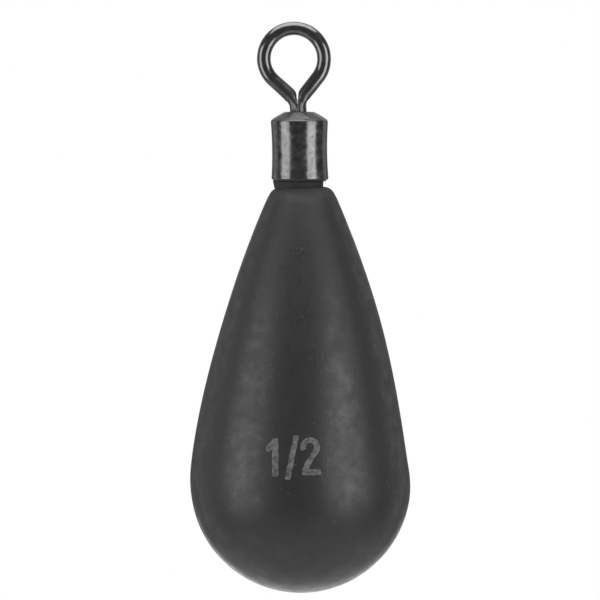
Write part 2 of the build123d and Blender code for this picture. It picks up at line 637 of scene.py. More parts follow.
class Sweep:
    """A cross-section that leaves a skin behind it as it runs straight or round a bend in the XZ plane."""

    def __init__(self, mesh: bmesh.types.BMesh, edges: list[bmesh.types.BMEdge]) -> None:
        """Start from the edges of a cross-section in the mesh."""
        self.mesh = mesh
        self.edges = edges

    def verts(self) -> list[bmesh.types.BMVert]:
        """The vertices of the cross-section where the sweep now ends."""
        return list(dict.fromkeys(vert for edge in self.edges for vert in edge.verts))

    def run(self, across: float, up: float, cuts: int = 0) -> Sweep:
        """Sweep straight.

        Args:
            across: How far to go along X, in millimetres.
            up: How far to go along Z, in millimetres.
            cuts: How many sections divide the run.

        Returns:
            The sweep, so that runs can follow each other.
        """
        step = Vector((across, 0.0, up)) * MM / (cuts + 1)
        for _ in range(cuts + 1):
            grown = bmesh.ops.extrude_edge_only(self.mesh, edges=self.edges)["geom"]
            self.edges = [item for item in grown if isinstance(item, bmesh.types.BMEdge)]
            bmesh.ops.translate(self.mesh, verts=self.verts(), vec=step)
        return self

    def bend(self, across: float, up: float, turn: float, steps: int) -> Sweep:
        """Sweep round a centre.

        Args:
            across: The centre's place along X, in millimetres.
            up: The centre's place along Z, in millimetres.
            turn: Degrees to turn, positive from +X towards +Z.
            steps: How many sections draw the bend.

        Returns:
            The sweep, so that runs can follow each other.
        """
        spun = bmesh.ops.spin(
            self.mesh,
            geom=[*self.verts(), *self.edges],
            cent=(across * MM, 0.0, up * MM),
            axis=DRAWING_AXIS,
            angle=math.radians(turn),
            steps=steps,
        )
        self.edges = [item for item in spun["geom_last"] if isinstance(item, bmesh.types.BMEdge)]
        return self


def round_ring(
    mesh: bmesh.types.BMesh, radius: float, height: float, size: float, segments: int
) -> None:
    """Round a circular edge of a turned mesh.

    Args:
        mesh: The turned mesh.
        radius: The edge's radius, in millimetres.
        height: The edge's height, in millimetres.
        size: How far the rounding reaches from the edge, in millimetres.
        segments: How many facets draw the rounding.
    """
    on_ring = {
        vert
        for vert in mesh.verts
        if abs(vert.co.xy.length / MM - radius) < RING_GAP and abs(vert.co.z / MM - height) < RING_GAP
    }
    bmesh.ops.bevel(
        mesh,
        geom=[edge for edge in mesh.edges if on_ring.issuperset(edge.verts)],
        offset=size * MM,
        offset_type="OFFSET",
        affect="EDGES",
        segments=segments,
        profile=0.5,
        material=-1,
        clamp_overlap=True,
    )


def make_object(mesh: bmesh.types.BMesh, name: str) -> bpy.types.Object:
    """Make an object of a mesh, and free the mesh.

    Args:
        mesh: The modelled mesh, in metres in the part's frame.
        name: The object's name.

    Returns:
        The object, in the scene.
    """
    data = bpy.data.meshes.new(name)
    mesh.to_mesh(data)
    mesh.free()
    made = bpy.data.objects.new(name, data)
    bpy.context.scene.collection.objects.link(made)
    return made


def finish_piece(
    mesh: bmesh.types.BMesh, name: str, body: Body, slot: str, *materials: bpy.types.Material
) -> bpy.types.Object:
    """Make a piece of the object from a mesh, and let it ride on its body.

    Args:
        mesh: The modelled mesh, in metres in the part's frame.
        name: The piece's name.
        body: The body that it moves with.
        slot: The record's material slot. It is not used.
        materials: Its finishes, in the order of its faces' material numbers.

    Returns:
        The piece's object.
    """
    piece = make_object(mesh, name)
    piece.data.shade_smooth()
    piece.data.set_sharp_from_angle(angle=math.radians(SMOOTH_ANGLE))
    for material in materials:
        piece.data.materials.append(material)
    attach(piece, body.value)
    log.info("%s: %d faces, rides on %s", name, len(piece.data.polygons), body.value)
    return piece


@dataclass
class SinkerBody:
    """The tungsten teardrop: a ball end, one long flank and a small flat top with the pin's hole."""

    node: str = "sinker_body"
    flank_radius: float = 44.5
    top_radius: float = 1.35
    top_round: float = 0.34
    top_lift: float = 0.05
    # The coat draws in towards the top's edge, by this much over this depth
    neck: float = 0.05
    neck_depth: float = 0.60
    coat: float = 0.02
    hole_radius: float = 0.60
    hole_depth: float = 5.85
    # The pressed body stands a little out of true: towards +X at its top, back below, and out at its foot
    bows: tuple[float, float, float] = (0.09, -0.0315, 0.0315)
    bow_heights: tuple[float, float, float] = (-10.43, -17.63, -20.1)
    # Its top is ground slightly askew, higher towards +X
    top_tilt: float = 0.015
    tilt_depth: float = 1.2
    ball_steps: int = 56
    flank_steps: int = 48
    round_steps: int = 6

    def __post_init__(self) -> None:
        """Take the body's reach from its node, find the flank's centre, and grow the body by its coat.

        The flank's arc touches the ball end from outside it and passes through the top's corner.
        """
        low, high = reach_of(self.node)
        self.top = high.z
        self.ball_radius = (high.y - low.y) / 2
        self.ball_height = low.z + self.ball_radius
        across = Vector((self.top_radius, self.top - self.ball_height))
        reach = self.flank_radius - self.ball_radius
        along = (reach**2 - self.flank_radius**2 + across.length_squared) / (2 * across.length)
        aside = math.sqrt(reach**2 - along**2)
        way = across.normalized()
        self.centre = way * along + Vector((-way.y, way.x)) * aside + Vector((0.0, self.ball_height))
        self.join_angle = math.atan2(self.ball_height - self.centre.y, -self.centre.x)
        self.ball_radius += self.coat
        self.flank_radius += self.coat
        self.top += self.top_lift
        self.top_radius = self.radius_at(self.top)

    def radius_at(self, height: float) -> float:
        """Find the radius of the flank or the ball end.

        Args:
            height: The height, in millimetres.

        Returns:
            The radius there, in millimetres.
        """
        if height < self.ball_height + self.ball_radius * math.sin(self.join_angle):
            return math.sqrt(self.ball_radius**2 - (height - self.ball_height) ** 2)
        return self.centre.x + math.sqrt(self.flank_radius**2 - (height - self.centre.y) ** 2)

    def bow_at(self, height: float) -> float:
        """Find how far the body stands out of true.

        Args:
            height: The height, in millimetres.

        Returns:
            How far it stands towards +X there, in millimetres.
        """
        top, middle, foot = self.bows
        first, second, third = self.bow_heights
        upper = ease((first - height) / (first - second))
        lower = ease((second - height) / (second - third))
        return top + (middle - top) * upper + (foot - middle) * lower

    def build(self) -> bmesh.types.BMesh:
        """Model the body.

        Returns:
            The body's mesh.
        """
        join = math.degrees(self.join_angle)
        top = math.degrees(math.atan2(self.top - self.centre.y, self.top_radius - self.centre.x))
        hole_foot = self.top - self.hole_depth
        outline = Outline(0.0, self.ball_height - self.ball_radius)
        outline.arc(0.0, self.ball_height, 90 + join, self.ball_steps)
        outline.arc(self.centre.x, self.centre.y, top - join, self.flank_steps)
        outline.line(self.hole_radius, self.top).line(self.hole_radius, hole_foot).line(0.0, hole_foot)
        mesh = outline.turned()
        round_ring(mesh, self.top_radius, self.top, self.top_round, self.round_steps)
        for vert in mesh.verts:
            height = vert.co.z / MM
            radius = vert.co.xy.length / MM
            if radius > self.hole_radius + RING_GAP:
                outer = min(1.0, (radius - self.hole_radius) / self.neck_depth)
                drawn_in = self.neck * ease(1 - (self.top - height) / self.neck_depth) * outer
                vert.co.xy *= 1 - drawn_in / radius
            share = max(0.0, 1 - (self.top - height) / self.tilt_depth)
            vert.co.z += self.top_tilt * share * vert.co.x / self.top_radius
            vert.co.x += self.bow_at(height) * MM
        return mesh

    def dress(self) -> None:
        """Finish the body in its coat, in place of its node."""
        piece = finish_piece(
            self.build(), "teardrop_body", Body.SINKER, "coated_tungsten", BODY_COAT.make()
        )
        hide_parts(self.node)


@dataclass
class WeightMark:
    """The plain weight number, etched into the body's front in strokes that follow its surface.

    Strokes are drawn flat, across along X and up along Z from the mark's middle.
    """

    body: SinkerBody
    middle: float = -17.66
    aside: float = -0.045
    stroke: float = 0.25
    lift: float = 0.012
    depth: float = 0.05
    corner: float = 0.07
    corner_steps: int = 3
    # How far the beam wanders along a stroke's edge, how long a wander is, and the seed that keeps it alike
    ragged: float = 0.022
    wander: float = 0.22
    wander_seed: int = 1
    # The figure one: its stem's narrow foot, the middle about which it spreads above that, and its rises
    stem_foot: tuple[Pair, Pair] = ((-1.17, -0.90), (-0.94, -0.90))
    stem_middle: float = -1.06
    stem_spread: float = 1.22
    stem_rises: tuple[float, float, float, float] = (0.10, 1.11, 0.40, 0.10)
    stem_cuts: int = 9
    # Its flag leaves the stem along the third rise, and the flag's lower corner is drawn in
    flag_run: Pair = (-0.29, -0.29)
    flag_corner: Pair = (0.05, 0.13)
    # The slash: its foot, and its run from there
    slash_foot: tuple[Pair, Pair] = ((-0.635, -1.0), (-0.39, -1.04))
    slash_run: Pair = (0.40, 1.96)
    slash_cuts: int = 14
    # The figure two: its hooked bow, its straight back, and its foot
    bow_centre: Pair = (0.495, 0.412)
    bow_radius: float = 0.306
    bow_start: float = 205.0
    bow_turn: float = -238.0
    bow_steps: int = 30
    back_run: Pair = (-0.44, -0.70)
    back_cuts: int = 6
    foot_left: float = 0.14
    foot_corner: float = 0.41
    foot_top: float = -0.565
    foot_height: float = 0.265
    foot_run: float = 0.56
    foot_cuts: int = 5

    def section(self, mesh: bmesh.types.BMesh, left: Pair, right: Pair) -> Sweep:
        """Start a stroke.

        Args:
            mesh: The mark's mesh.
            left: One end of the stroke's starting edge, across and up.
            right: The other end.

        Returns:
            A sweep that starts from that edge.
        """
        ends = [mesh.verts.new((x * MM, 0.0, z * MM)) for x, z in (left, right)]
        return Sweep(mesh, [mesh.edges.new(ends)])

    def branch(self, mesh: bmesh.types.BMesh, *ends: bmesh.types.BMVert) -> Sweep:
        """A sweep that leaves a stroke from the edge between two of its vertices."""
        return Sweep(mesh, [edge for edge in mesh.edges if set(edge.verts) == set(ends)])

    def one(self, mesh: bmesh.types.BMesh) -> None:
        """Draw the figure one: a stem with a flag, and no foot.

        Args:
            mesh: The mark's mesh.
        """
        foot, straight, root, cap = self.stem_rises
        stem = self.section(mesh, *self.stem_foot).run(0.0, foot)
        about_stem = Matrix.Translation((-self.stem_middle * MM, 0.0, 0.0))
        bmesh.ops.scale(mesh, verts=stem.verts(), vec=(self.stem_spread, 1.0, 1.0), space=about_stem)
        stem.run(0.0, straight, self.stem_cuts)
        shoulder = min(stem.verts(), key=lambda vert: vert.co.x)
        stem.run(0.0, root)
        flag_top = min(stem.verts(), key=lambda vert: vert.co.x)
        stem.run(0.0, cap)
        flag = self.branch(mesh, shoulder, flag_top).run(*self.flag_run)
        lower = min(flag.verts(), key=lambda vert: vert.co.z)
        across, up = self.flag_corner
        bmesh.ops.translate(mesh, verts=[lower], vec=(across * MM, 0.0, up * MM))

    def slash(self, mesh: bmesh.types.BMesh) -> None:
        """Draw the slash."""
        self.section(mesh, *self.slash_foot).run(*self.slash_run, self.slash_cuts)

    def two(self, mesh: bmesh.types.BMesh) -> None:
        """Draw the figure two: a hooked bow, a straight back down to the left, and a flat foot.

        Args:
            mesh: The mark's mesh.
        """
        across, up = self.bow_centre
        start = math.radians(self.bow_start)
        reaches = (self.bow_radius - self.stroke / 2, self.bow_radius + self.stroke / 2)
        ends = [(across + reach * math.cos(start), up + reach * math.sin(start)) for reach in reaches]
        back = self.section(mesh, *ends).bend(across, up, self.bow_turn, self.bow_steps)
        back.run(*self.back_run, self.back_cuts)
        left, right = sorted(back.verts(), key=lambda vert: vert.co.x)
        left.co = Vector((self.foot_left, 0.0, self.foot_top)) * MM
        right.co = Vector((self.foot_corner, 0.0, self.foot_top)) * MM
        back.run(0.0, -self.foot_height)
        below = max(back.verts(), key=lambda vert: vert.co.x)
        self.branch(mesh, right, below).run(self.foot_run, 0.0, self.foot_cuts)

    def wrap(self, mesh: bmesh.types.BMesh) -> None:
        """Let the flat strokes wander, and lay them on the body.

        Args:
            mesh: The mark's mesh.
        """
        noise.seed_set(self.wander_seed)
        for vert in mesh.verts:
            stray = noise.noise_vector(vert.co * per_size(self.wander)) * self.ragged * MM
            vert.co.x += stray.x
            vert.co.z += stray.z
            height = self.middle + vert.co.z / MM
            radius = self.body.radius_at(height)
            bow = self.body.bow_at(height)
            turn = math.asin((self.aside + vert.co.x / MM - bow) / radius)
            proud = radius + self.lift
            vert.co = Vector((bow + proud * math.sin(turn), -proud * math.cos(turn), height)) * MM

    def build(self) -> bmesh.types.BMesh:
        """Draw the strokes flat, round their corners, wrap them on the body and thicken them.

        Returns:
            The mark's mesh.
        """
        mesh = bmesh.new()
        self.one(mesh)
        self.slash(mesh)
        self.two(mesh)
        bmesh.ops.bevel(
            mesh,
            geom=[vert for vert in mesh.verts if len(vert.link_edges) == 2],
            offset=self.corner * MM,
            offset_type="OFFSET",
            affect="VERTICES",
            segments=self.corner_steps,
            profile=0.5,
            material=-1,
        )
        self.wrap(mesh)
        mesh.normal_update()
        inward = [face for face in mesh.faces if face.normal.y > 0]
        bmesh.ops.reverse_faces(mesh, faces=inward)
        bmesh.ops.solidify(mesh, geom=mesh.faces[:], thickness=self.depth * MM)
        return mesh

    def dress(self) -> None:
        """Finish the mark as etched metal."""
        finish_piece(self.build(), "weight_mark", Body.SINKER, "coated_tungsten", ETCHED_MARK.make())


@dataclass
class NeckBush:
    """The matt ring between the barrel and the body, a little off centre and askew."""

    node: str = "neck_bush"
    bore_radius: float = 0.55
    flare: float = 0.03
    taper: float = 0.012
    edge: float = 0.02
    edge_steps: int = 3
    side_cuts: int = 2
    aside: float = -0.054
    lean: float = -0.03
    # How far its top stands up into the running gap, and its rim towards -X into the barrel's chamfer
    rise: float = 0.02
    bead: float = 0.06
    bead_reach: float = 0.10

    def build(self) -> bmesh.types.BMesh:
        """Model the ring.

        Returns:
            The ring's mesh.
        """
        low, high = reach_of(self.node)
        radius = (high.y - low.y) / 2
        foot_radius = radius - self.taper
        top_radius = radius + self.flare
        top = high.z + self.rise
        bead_root = top_radius - self.bead_reach
        outline = Outline(self.bore_radius, top).line(bead_root, top).line(top_radius, top)
        outline.line(foot_radius, low.z, self.side_cuts)
        outline.line(self.bore_radius, low.z).line(self.bore_radius, top)
        mesh = outline.turned()
        round_ring(mesh, top_radius, top, self.edge, self.edge_steps)
        for vert in mesh.verts:
            reach = vert.co.xy.length / MM
            if reach > bead_root and vert.co.z / MM > high.z - self.edge:
                side = max(0.0, -vert.co.x / MM / reach)
                vert.co.z += self.bead * side**2 * min(1.0, (reach - bead_root) / self.bead_reach) * MM
            share = (vert.co.z / MM - low.z) / (top - low.z)
            vert.co.x += (self.aside + self.lean * share) * MM
        return mesh

    def dress(self) -> None:
        """Finish the ring in acetal, in place of its node."""
        piece = finish_piece(self.build(), "acetal_bush", Body.SINKER, "bush", BUSH_ACETAL.make())
        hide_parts(self.node)


@dataclass
class SwivelBarrel:
    """The drawn tube, waisted and not quite upright.

    Its top is rolled to a cone and its foot to a lip.
    """

    node: str = "swivel_barrel"
    wall: float = 0.28
    waist_depth: float = 0.045
    crown_height: float = 0.39
    crown_radius: float = 0.65
    crown_hole: float = 0.50
    plate: float = 0.021
    lean: float = -0.034
    crown_round: float = 0.06
    hole_break: float = 0.06
    shoulder_round: float = 0.09
    shoulder_land: float = 0.12
    foot_height: float = 0.12
    foot_inset: float = 0.155
    foot_round: float = 0.015
    lip_hole: float = 0.48
    lip: float = 0.27
    # How many steps of the turned mesh each pressed flat takes, and how much steeper than the cone it is
    flat_steps: tuple[int, ...] = (20, 23, 19, 22, 21, 24, 20, 22, 21)
    flat_slopes: tuple[float, ...] = (0.04, -0.10, 0.08, -0.05, 0.10, -0.08, 0.02, -0.06, 0.07)
    flat_start: float = -23.0
    flat_share: float = 0.62
    flat_strength: float = 0.22
    # The rolled cone swells a little between its edges, and is uneven by this much over this length
    dome: float = 0.025
    hammer: float = 0.016
    hammer_size: float = 0.34
    # The nick beside the front flat
    nick_place: tuple[float, float, float] = (0.324, -1.037, -2.69)
    nick_size: Pair = (0.10, 0.05)
    nick_depth: float = 0.03
    # How finely the rims, the cone, the waist and the foot are drawn
    rim_cuts: int = 1
    cone_cuts: int = 17
    waist_steps: int = 28
    foot_cuts: int = 2
    crown_steps: int = 4
    foot_steps: int = 3

    def __post_init__(self) -> None:
        """Take the barrel's reach from its node."""
        low, high = reach_of(self.node)
        self.foot = low.z
        self.crown = high.z
        self.radius = (high.y - low.y) / 2 + self.plate
        self.shoulder = self.crown - self.crown_height
        self.slope = self.crown_height / (self.radius - self.crown_radius)
        self.cavity = self.radius - self.waist_depth - self.wall

    def cone_at(self, radius: float) -> float:
        """Height of the crown's cone at a radius."""
        return self.crown - (radius - self.crown_radius) * self.slope

    def under_crown(self, radius: float) -> float:
        """Height of the crown's inner face at a radius."""
        return self.cone_at(radius) - self.wall * math.hypot(1.0, self.slope)

    def on_cone(self, radius: float, height: float) -> bool:
        """Tell whether a point lies on the outside of the crown's cone.

        Args:
            radius: The point's radius, in millimetres.
            height: The point's height, in millimetres.

        Returns:
            True on the cone.
        """
        near = abs(height - self.cone_at(radius)) <= self.wall / 2
        outside = radius >= self.crown_radius - self.crown_round
        return near and outside and height >= self.shoulder - self.shoulder_round / 2

    def crimp(self, mesh: bmesh.types.BMesh) -> None:
        """Press the turned cone into uneven flats.

        Args:
            mesh: The barrel's mesh.
        """
        start = self.flat_start
        flats = []
        for steps, slope in zip(self.flat_steps, self.flat_slopes):
            width = 360 * steps / TURNED_STEPS
            flats.append((start, width, slope))
            start += width
        for vert in mesh.verts:
            radius = vert.co.xy.length / MM
            if not self.on_cone(radius, vert.co.z / MM):
                continue
            turn = math.degrees(math.atan2(vert.co.x, -vert.co.y))
            turn = (turn - self.flat_start) % 360 + self.flat_start
            start, width, slope = next(flat for flat in flats if turn < flat[0] + flat[1] + TURN_GAP)
            half = math.radians(width / 2)
            aside = math.radians(turn - start) - half
            flat_reach = radius * math.cos(aside) / math.cos(half * self.flat_share)
            drop = (flat_reach - self.crown_radius) * self.slope * (1 + slope)
            share = self.flat_strength * clamped((radius - self.crown_radius) / self.crown_round)
            pressed = (self.crown - drop - self.cone_at(radius)) * share
            along = (radius - self.crown_radius) / (self.radius - self.crown_radius)
            uneven = self.hammer * noise.noise(vert.co * per_size(self.hammer_size))
            # The swell is highest halfway down the cone
            swell = 4 * (self.dome + uneven) * max(0.0, along * (1 - along))
            vert.co.z += (pressed + swell) * MM

    def nick(self, mesh: bmesh.types.BMesh) -> None:
        """Dent the crown beside its front flat.

        Args:
            mesh: The barrel's mesh.
        """
        place = Vector(self.nick_place)
        width, height = self.nick_size
        for vert in mesh.verts:
            away = vert.co / MM - place
            share = 1 - (away.x / width) ** 2 - (away.z / height) ** 2
            if share > 0 and away.y < self.wall / 2 and vert.co.y < 0:
                vert.co.z -= self.nick_depth * share * MM
                vert.co.y += self.nick_depth * share * MM

    def build(self) -> bmesh.types.BMesh:
        """Model the barrel.

        Returns:
            The barrel's mesh.
        """
        waist_top = self.shoulder - self.shoulder_land
        waist_foot = self.foot + self.foot_height
        half = (waist_top - waist_foot) / 2
        waist_radius = (half**2 + self.waist_depth**2) / (2 * self.waist_depth)
        waist_centre = self.radius - self.waist_depth + waist_radius
        waist_turn = 2 * math.degrees(math.asin(half / waist_radius))
        foot_radius = self.radius - self.foot_inset
        lip_top = self.foot + self.lip
        start = (self.crown_hole + self.hole_break, self.crown)
        outline = Outline(*start).line(self.crown_radius, self.crown, self.rim_cuts)
        outline.line(self.radius, self.shoulder, self.cone_cuts).line(self.radius, waist_top)
        outline.arc(waist_centre, waist_foot + half, waist_turn, self.waist_steps)
        outline.line(foot_radius, self.foot, self.foot_cuts)
        outline.line(self.lip_hole, self.foot, self.foot_cuts)
        outline.line(self.lip_hole, lip_top).line(self.cavity, lip_top)
        outline.line(self.cavity, self.under_crown(self.cavity))
        outline.line(self.crown_hole, self.under_crown(self.crown_hole))
        outline.line(self.crown_hole, self.crown - self.hole_break).line(*start)
        mesh = outline.turned()
        round_ring(mesh, self.crown_radius, self.crown, self.crown_round, self.crown_steps)
        round_ring(mesh, self.radius, self.shoulder, self.shoulder_round, self.crown_steps)
        round_ring(mesh, self.radius, waist_foot, self.foot_round, self.foot_steps)
        round_ring(mesh, foot_radius, self.foot, self.foot_round, self.foot_steps)
        self.crimp(mesh)
        self.nick(mesh)
        for face in mesh.faces:
            middle = face.calc_center_median() / MM
            if middle.z < waist_foot - self.foot_round and middle.xy.length > self.cavity:
                face.material_index = 1
        for vert in mesh.verts:
            share = (vert.co.z / MM - self.foot) / (self.crown - self.foot)
            vert.co.x += self.lean * share * MM
        return mesh

    def dress(self) -> None:
        """Finish the barrel in black nickel, in place of its node."""
        finishes = (BARREL_PLATE.make(), ROLLED_FOOT.make())
        piece = finish_piece(self.build(), "rolled_barrel", Body.BARREL, "barrel_plate", *finishes)
        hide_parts(self.node)


@dataclass
class LineEye:
    """The wire eye: one wire bent to a keyhole loop, its legs swaged into a stem with a ball head."""

    node: str = "line_eye"
    wire_radius: float = 0.3085
    loop_radius: float = 1.354
    leg_angle: float = 43.0
    bend_radius: float = 0.70
    stem_radius: float = 0.375
    runout_radius: float = 0.35
    swage_top: float = -2.165
    head_radius: float = 0.76
    lean: float = 4.8
    pitch: float = 2.5
    # The slit between the legs: where their pressing starts, its wide part and the pressed crease
    pinch_height: float = -1.29
    slit_top: float = 0.027
    slit_top_height: float = -1.78
    crease: float = 0.003
    crease_height: float = -1.95
    # How softly a leg bends on to the slit, the share of that which is left at the crease, and how far
    # above the stem the leg starts to merge into its round
    knee: float = 0.045
    knee_least: float = 0.1
    merge: float = 0.35
    # The legs bow a little towards +X, most at this height, and to nothing over these runs above and below
    bow: float = 0.025
    bow_height: float = -1.40
    bow_above: float = 1.40
    bow_below: float = 0.65
    # The flat that the swaging die leaves on the left leg, tilted a little downwards
    flat_turn: float = -38.0
    flat_tilt: float = -8.7
    flat_reach: float = 0.676
    flat_top: float = -1.80
    flat_full: float = -2.00
    flat_foot: float = -2.38
    # How finely the wire and the head are drawn
    wire_sides: int = 48
    loop_steps: int = 96
    leg_cuts: int = 12
    bend_steps: int = 32
    stem_cuts: int = 18
    head_sides: int = 48
    head_rings: int = 24

    def __post_init__(self) -> None:
        """Find the legs' run and the stem's top, and the ball from the node's reach."""
        self.leg_sin = math.sin(math.radians(self.leg_angle))
        self.leg_cos = math.cos(math.radians(self.leg_angle))
        leg_offset = self.stem_radius / 2
        span = self.loop_radius * self.leg_cos - leg_offset - self.bend_radius * (1 - self.leg_cos)
        self.leg_run = span / self.leg_sin
        leg_foot = -self.loop_radius * self.leg_sin - self.leg_cos * self.leg_run
        self.stem_top = leg_foot - self.bend_radius * self.leg_sin
        self.bend_x = leg_offset + self.bend_radius
        self.face_reach = math.sqrt(self.wire_radius**2 - leg_offset**2)
        self.ball = reach_of(self.node)[0].z + self.head_radius

    def slit_share(self, height: float) -> float:
        """How far a height lies from the crease towards the slit's wide part."""
        return (height - self.crease_height) / (self.slit_top_height - self.crease_height)

    def slit_at(self, height: float) -> float:
        """Half the gap between the legs at a height."""
        return self.crease + (self.slit_top - self.crease) * clamped(self.slit_share(height))

    def swage_at(self, height: float) -> float:
        """The radius that the swaging die leaves at a height, below the end of its run-out."""
        rise = max(0.0, height - self.swage_top)
        return self.stem_radius + self.runout_radius - math.sqrt(self.runout_radius**2 - rise**2)

    def pinch(self, mesh: bmesh.types.BMesh) -> None:
        """Press one leg flat against the other, and squeeze it into the stem.

        Args:
            mesh: The mesh of half the eye.
        """
        for vert in mesh.verts:
            height = vert.co.z / MM
            away = vert.co.x / MM - self.slit_at(height)
            inner = away <= 0
            if height < self.pinch_height:
                knee = self.knee * max(self.knee_least, ease(self.slit_share(height)))
                vert.co.x += (knee * math.log1p(math.exp(away / knee)) - away) * MM
            if height < self.swage_top + self.runout_radius:
                vert.co.xy *= min(1.0, self.swage_at(height) * MM / vert.co.xy.length)
            share = ease(1 - (height - self.swage_top) / self.merge)
            if share and inner:
                vert.co.y *= 1 + share * (self.stem_radius / self.face_reach - 1)
            elif share:
                swell = self.stem_radius * MM / vert.co.xy.length
                vert.co.xy *= 1 + share * max(0.0, swell - 1)

    def bend_aside(self, mesh: bmesh.types.BMesh) -> None:
        """Bow the legs a little to one side.

        Args:
            mesh: The eye's mesh.
        """
        for vert in mesh.verts:
            rise = vert.co.z / MM - self.bow_height
            reach = self.bow_above if rise > 0 else self.bow_below
            vert.co.x += self.bow * ease(1 - abs(rise) / reach) * MM

    def flatten(self, mesh: bmesh.types.BMesh) -> None:
        """Press the die's flat into the front of the left leg's foot.

        Args:
            mesh: The eye's mesh.
        """
        facing = heading(self.flat_turn, self.flat_tilt)
        level = Vector((facing.x, facing.y, 0.0)).normalized()
        for vert in mesh.verts:
            height = max(vert.co.z / MM, self.flat_foot)
            reach = (self.flat_reach - facing.z * height) / facing.xy.length
            proud = vert.co.dot(level) - reach * MM
            share = (self.flat_top - height) / (self.flat_top - self.flat_full)
            if proud > 0 and share > 0:
                vert.co -= level * proud * min(1.0, share)

    def build(self) -> bmesh.types.BMesh:
        """Model the eye: half the wire is swept and mirrored, then headed and leaned over.

        Returns:
            The eye's mesh.
        """
        mesh = bmesh.new()
        top = Matrix.Translation((0.0, 0.0, self.loop_radius * MM)) @ Matrix.Rotation(math.pi / 2, 4, "Y")
        bmesh.ops.create_circle(mesh, segments=self.wire_sides, radius=self.wire_radius * MM, matrix=top)
        wire = Sweep(mesh, mesh.edges[:]).bend(0.0, 0.0, -(90 + self.leg_angle), self.loop_steps)
        wire.run(-self.leg_sin * self.leg_run, -self.leg_cos * self.leg_run, self.leg_cuts)
        wire.bend(self.bend_x, self.stem_top, self.leg_angle, self.bend_steps)
        wire.run(0.0, self.ball - self.stem_top, self.stem_cuts)
        bmesh.ops.contextual_create(mesh, geom=wire.edges)
        self.pinch(mesh)
        half = [*mesh.verts, *mesh.edges, *mesh.faces]
        merge = SEAM_GAP * MM
        bmesh.ops.mirror(mesh, geom=half, matrix=Matrix.Identity(4), merge_dist=merge, axis="X")
        bmesh.ops.remove_doubles(mesh, verts=mesh.verts, dist=merge)
        self.flatten(mesh)
        self.bend_aside(mesh)
        bmesh.ops.recalc_face_normals(mesh, faces=mesh.faces)
        seat = Vector((0.0, 0.0, self.ball * MM))
        bmesh.ops.create_uvsphere(
            mesh,
            u_segments=self.head_sides,
            v_segments=self.head_rings,
            radius=self.head_radius * MM,
            matrix=Matrix.Translation(seat),
        )
        sideways = Matrix.Rotation(-math.radians(self.lean), 3, "Y")
        backwards = Matrix.Rotation(-math.radians(self.pitch), 3, "X")
        bmesh.ops.rotate(mesh, cent=seat, matrix=backwards @ sideways, verts=mesh.verts)
        return mesh

    def dress(self) -> None:
        """Finish the eye in black nickel, in place of its node."""
        piece = finish_piece(self.build(), "keyhole_eye", Body.EYE, "eye_wire", EYE_PLATE.make())
        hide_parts(self.node)


def dress_hidden(nodes: dict[str, bpy.types.Object]) -> None:
    """Give the pin and its glue, which stay as the frame's own solids, their finishes.

    Args:
        nodes: The frame's nodes by name.
    """
    for name, finish in (("anchor_pin", PIN_STEEL), ("epoxy_bond", CURED_EPOXY)):
        nodes[name].data.materials.clear()
        nodes[name].data.materials.append(finish.make())
        log.info("%s: keeps its solid, finished in %s", name, finish.name)


@dataclass(frozen=True)
class Softbox:
    """A flat lamp that faces the sinker, by the angles that it fills as the sinker sees it."""

    name: str
    azimuth: float
    elevation: float
    half_width: float
    half_height: float
    brightness: float
    distance: float = 110.0

    def hang(self, centre: Vector) -> None:
        """Hang the lamp.

        Args:
            centre: The point that it faces, in metres.
        """
        lamp = bpy.data.lights.new(self.name, "AREA")
        lamp.shape = "RECTANGLE"
        lamp.size = 2 * self.distance * MM * math.tan(math.radians(self.half_width))
        lamp.size_y = 2 * self.distance * MM * math.tan(math.radians(self.half_height))
        lamp.energy = math.pi * lamp.size * lamp.size_y * self.brightness
        box = bpy.data.objects.new(self.name, lamp)
        way = heading(self.azimuth, self.elevation)
        facing = way.to_track_quat("Z", "Y").to_matrix().to_4x4()
        box.matrix_world = Matrix.Translation(centre + way * self.distance * MM) @ facing
        box.visible_camera = False
        bpy.context.scene.collection.objects.link(box)
        log.info("%s: lamp of %.0f by %.0f mm", self.name, lamp.size / MM, lamp.size_y / MM)


